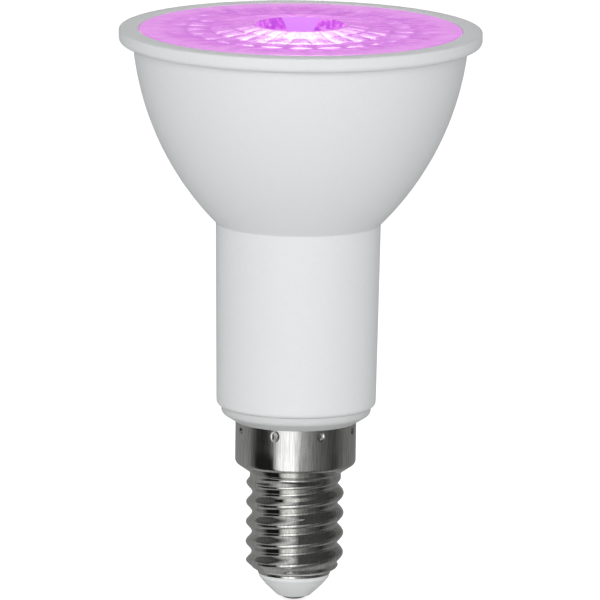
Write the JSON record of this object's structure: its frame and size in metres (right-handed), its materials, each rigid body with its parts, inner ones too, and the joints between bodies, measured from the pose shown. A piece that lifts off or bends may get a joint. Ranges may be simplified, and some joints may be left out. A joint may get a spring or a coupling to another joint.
{
  "type": "led grow light bulb",
  "caption": "Reflector-shaped LED grow lamp: white bowl and neck, thick rim, faceted lens lit pink, and a small nickel screw cap with rolled thread.",
  "frame": {"origin": "tip of the centre contact, on the lamp's axis", "axes": "+Z along the lamp's axis from the cap to the lens; +X to the right as seen from the front (-Y)"},
  "size_m": [0.0508, 0.0508, 0.081],
  "materials": {
    "white_plastic": "smooth white moulding with a soft sheen",
    "lens_acrylic": "clear moulded acrylic, lit pink from behind",
    "nickel_plate": "bright nickel plate on rolled sheet",
    "cap_insulator": "white moulding",
    "aluminium": "pressed, plain",
    "led_board_white": "white coating on a metal core",
    "led_red": "red window in a small package",
    "led_blue": "blue window in a small package",
    "screw_steel": "zinc plated",
    "board_green": "green board",
    "fuse_body": "green lacquer",
    "film_body": "dipped orange-brown",
    "black_sleeve": "shrunk sleeve",
    "can_sleeve": "dark sleeve on an aluminium can",
    "black_epoxy": "moulded, dull",
    "chip_ceramic": "small fired blocks",
    "pin_brass": "tinned square pins",
    "red_insulation": "wire insulation",
    "black_insulation": "wire insulation"
  },
  "bodies": {
    "root": {"centre_contact": "nickel_plate", "cap_insulator": "cap_insulator", "cap_shell": "nickel_plate", "base_plug": "white_plastic", "housing": "white_plastic", "lens": "lens_acrylic", "heat_spreader": "aluminium", "led_board": "led_board_white", "red_leds": "led_red", "blue_leds": "led_blue", "board_screws": "screw_steel", "driver_board": "board_green", "fuse_resistor": "fuse_body", "film_capacitor": "film_body", "inductor": "black_sleeve", "bulk_capacitor": "can_sleeve", "bridge_rectifier": "black_epoxy", "driver_chip": "black_epoxy", "chip_parts": "chip_ceramic", "header_pins": "pin_brass", "header_bar": "black_epoxy", "live_lead": "red_insulation", "neutral_lead": "black_insulation"}
  },
  "joints": []
}
